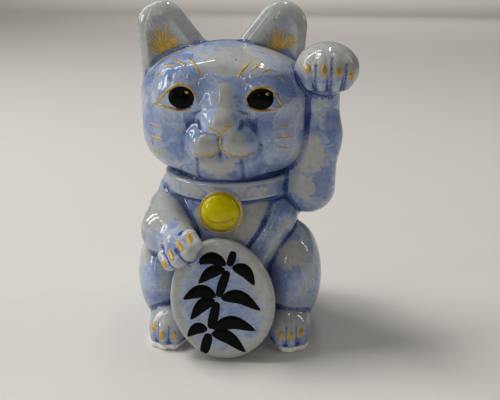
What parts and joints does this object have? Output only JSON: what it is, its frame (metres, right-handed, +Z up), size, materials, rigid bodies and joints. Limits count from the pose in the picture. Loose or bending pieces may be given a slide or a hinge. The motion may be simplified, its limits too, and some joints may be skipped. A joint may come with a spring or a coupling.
{
  "type": "ceramic cat figurine",
  "caption": "Seated beckoning cat in glazed porcelain with one paw raised, the other holding an oval plaque, and a bell on its collar.",
  "frame": {"origin": "on the floor plane, under the middle of the figurine's foot plate", "axes": "+Z up along the figurine's height, -Y the way the cat faces, +X towards the raised paw"},
  "size_m": [0.1062, 0.0973, 0.1599],
  "materials": {
    "glaze": "gloss",
    "plaque": "gloss",
    "unglazed": "matte",
    "yellow_glaze": "gloss",
    "gilding": "polished",
    "black_enamel": "gloss"
  },
  "bodies": {
    "root": {"base": "unglazed", "body": "glaze", "head": "glaze", "left_ear": "glaze", "right_ear": "glaze", "raised_arm": "glaze", "raised_paw": "glaze", "lowered_arm": "glaze", "lowered_paw": "glaze", "left_haunch": "glaze", "right_haunch": "glaze", "left_foot": "glaze", "right_foot": "glaze", "tail": "glaze", "collar": "glaze", "bell_rim": "gilding", "bell_dome": "yellow_glaze", "koban": "plaque", "left_eye": "black_enamel", "right_eye": "black_enamel"}
  },
  "joints": []
}
